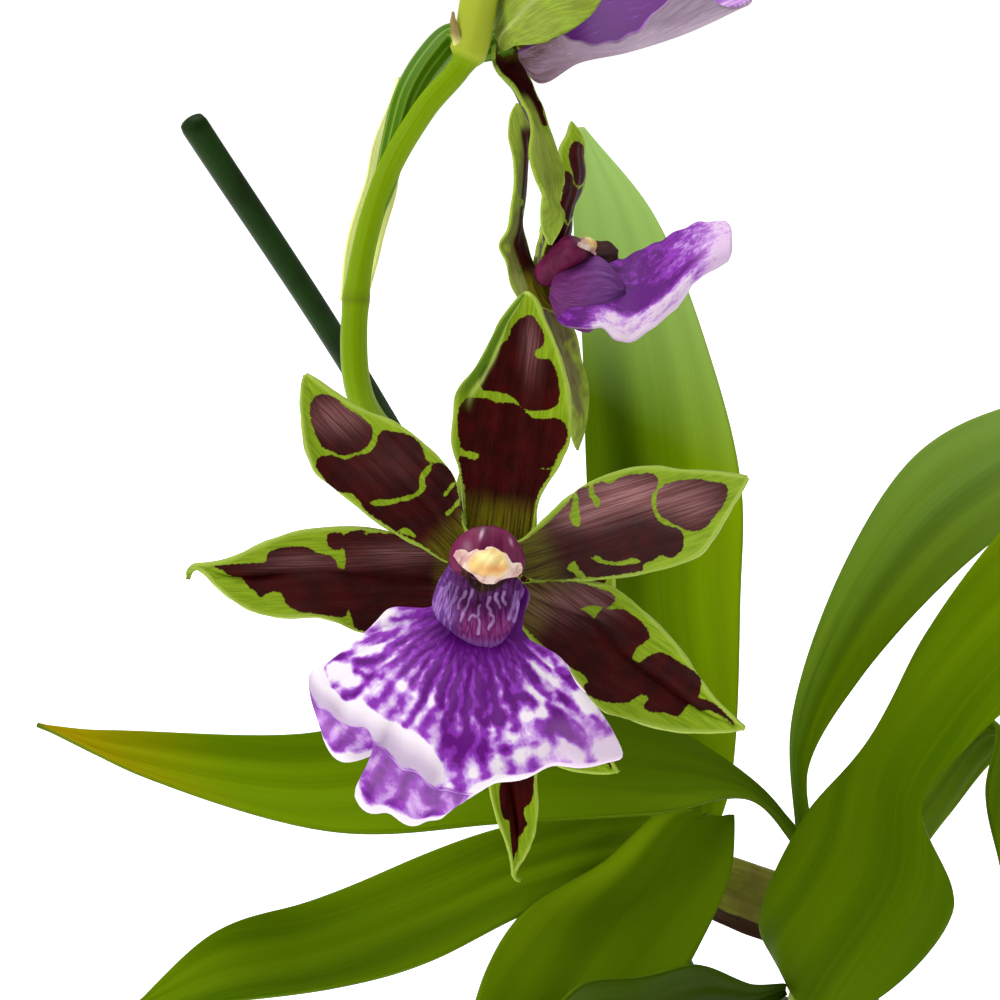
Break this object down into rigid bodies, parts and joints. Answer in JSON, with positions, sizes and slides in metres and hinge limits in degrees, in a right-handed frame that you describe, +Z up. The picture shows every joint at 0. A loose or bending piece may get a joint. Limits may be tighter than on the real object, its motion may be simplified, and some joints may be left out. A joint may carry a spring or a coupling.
{
  "type": "potted zygopetalum orchid",
  "caption": "Staked zygopetalum orchid in a plain round pot, with green and maroon blooms, violet and white lips, strap leaves and pseudobulbs.",
  "frame": {"origin": "centre of the pot's flat underside", "axes": "+Z up from the pot to the blooms, -Y the side that the main bloom faces, +X to the right of someone it faces"},
  "size_m": [0.2856, 0.2884, 0.4305],
  "materials": {
    "pot": "matte",
    "bark": "matte",
    "root": "matte",
    "pseudobulb": "satin",
    "shoot": "satin",
    "leaf": "satin",
    "stake": "satin",
    "spike": "satin",
    "bract": "satin",
    "pedicel": "satin",
    "tepal": "satin",
    "lip": "matte",
    "column": "satin",
    "anther": "matte"
  },
  "bodies": {
    "root": {"pot": "pot", "potting_bark": "bark", "rhizome_and_roots": "root", "pseudobulb_old": "pseudobulb", "pseudobulb_tall": "pseudobulb", "new_shoot": "shoot", "stake": "stake", "flower_spike": "spike", "bract": "bract", "leaf_tall_back": "leaf", "leaf_left": "leaf", "leaf_low_left": "leaf", "leaf_front": "leaf", "leaf_low_front": "leaf", "leaf_right_high": "leaf", "leaf_right_broad": "leaf", "leaf_right_drooping": "leaf", "main_pedicel": "pedicel", "main_dorsal_sepal": "tepal", "main_petal_left": "tepal", "main_petal_right": "tepal", "main_lateral_sepal_left": "tepal", "main_lateral_sepal_right": "tepal", "main_lip": "lip", "main_column": "column", "main_anther_cap": "anther", "side_pedicel": "pedicel", "side_dorsal_sepal": "tepal", "side_petal_left": "tepal", "side_petal_right": "tepal", "side_lateral_sepal_left": "tepal", "side_lateral_sepal_right": "tepal", "side_lip": "lip", "side_column": "column", "side_anther_cap": "anther", "top_pedicel": "pedicel", "top_dorsal_sepal": "tepal", "top_petal_left": "tepal", "top_petal_right": "tepal", "top_lateral_sepal_left": "tepal", "top_lateral_sepal_right": "tepal", "top_lip": "lip", "top_column": "column", "top_anther_cap": "anther", "rear_pedicel": "pedicel", "rear_dorsal_sepal": "tepal", "rear_petal_left": "tepal", "rear_petal_right": "tepal", "rear_lateral_sepal_left": "tepal", "rear_lateral_sepal_right": "tepal", "rear_lip": "lip", "rear_column": "column", "rear_anther_cap": "anther"}
  },
  "joints": []
}
